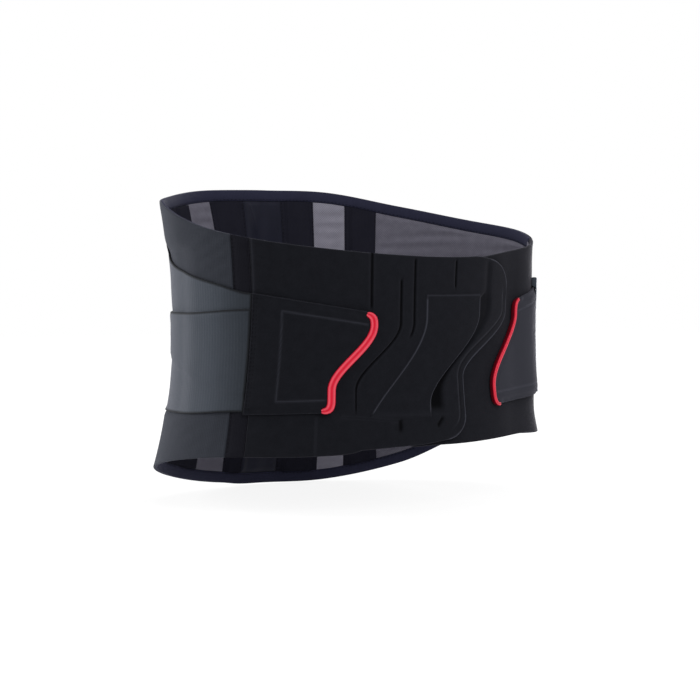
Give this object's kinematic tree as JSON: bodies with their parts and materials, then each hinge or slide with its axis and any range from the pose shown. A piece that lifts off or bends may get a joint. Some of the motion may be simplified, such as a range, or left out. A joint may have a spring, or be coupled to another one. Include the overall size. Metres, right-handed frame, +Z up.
{
  "type": "lumbar support belt",
  "caption": "Tall-backed lumbar support belt, closed as worn: stayed back panel, side panels, wrap-over front flaps and elastic pull straps ending in gripped tabs.",
  "frame": {"origin": "centre of the worn loop at the waistline, its narrowest level", "axes": "+X towards the wearer's left, -Y towards the front, where the flaps close, +Z up"},
  "size_m": [0.352, 0.2698, 0.261],
  "materials": {
    "knit_shell": "dark grey warp-knit laminate, matt",
    "strap_elastic": "slate grey woven elastic with a faint sheen",
    "loop_fabric": "near-black brushed loop fabric, moulded in relief on the front",
    "mesh_lining": "mid grey spacer mesh",
    "facing_tape": "blue-black woven tape",
    "hook_fabric": "black moulded micro-hook sheet",
    "grip_moulding": "crimson moulded elastomer, satin",
    "stay_steel": "spring steel strip",
    "stay_plastic": "natural plastic strip"
  },
  "bodies": {
    "root": {"back_centre_lining": "facing_tape", "back_mesh_strip_left": "mesh_lining", "back_mesh_strip_right": "mesh_lining", "back_panel": "knit_shell", "bottom_facing": "facing_tape", "inner_stay_left": "stay_steel", "inner_stay_pocket_left": "facing_tape", "inner_stay_pocket_right": "facing_tape", "inner_stay_right": "stay_steel", "lower_strap_left": "strap_elastic", "lower_strap_right": "strap_elastic", "outer_stay_left": "stay_steel", "outer_stay_pocket_left": "facing_tape", "outer_stay_pocket_right": "facing_tape", "outer_stay_right": "stay_steel", "seam_pocket_left": "facing_tape", "seam_pocket_right": "facing_tape", "seam_stay_left": "stay_plastic", "seam_stay_right": "stay_plastic", "side_lining_left": "mesh_lining", "side_lining_right": "mesh_lining", "side_panel_left": "knit_shell", "side_panel_right": "knit_shell", "strap_anchor_left": "facing_tape", "strap_anchor_right": "facing_tape", "top_facing": "facing_tape", "upper_strap_left": "strap_elastic", "upper_strap_right": "strap_elastic"},
    "right_flap": {"right_flap": "loop_fabric", "right_flap_lining": "mesh_lining", "right_flap_hook": "hook_fabric"},
    "left_flap": {"left_flap": "loop_fabric", "left_flap_lining": "mesh_lining"},
    "right_tab": {"right_tab": "loop_fabric", "right_tab_hook": "hook_fabric", "right_grip": "grip_moulding"},
    "left_tab": {"left_tab": "loop_fabric", "left_tab_hook": "hook_fabric", "left_grip": "grip_moulding"}
  },
  "joints": [
    {"name": "right_flap_hinge", "type": "hinge", "parent": "root", "child": "right_flap", "pos_m": [-0.15564, -0.05621, 0], "axis": [-0.0387, -0.0139, -0.9992], "range_deg": [0, 100]},
    {"name": "left_flap_hinge", "type": "hinge", "parent": "root", "child": "left_flap", "pos_m": [0.15564, -0.05621, 0], "axis": [-0.0387, 0.0139, 0.9992], "range_deg": [0, 50]},
    {"name": "right_tab_hinge", "type": "hinge", "parent": "right_flap", "child": "right_tab", "pos_m": [-0.15307, -0.05647, -0.017], "axis": [-0.0738, 0.0337, -0.9967], "range_deg": [0, 75]},
    {"name": "left_tab_hinge", "type": "hinge", "parent": "left_flap", "child": "left_tab", "pos_m": [0.15286, -0.05641, -0.007], "axis": [-0.0524, -0.0389, 0.9979], "range_deg": [0, 75]}
  ],
  "couplings": [
    {"joint": "left_flap_hinge", "follows": "right_flap_hinge", "ratio": 0.5}
  ]
}
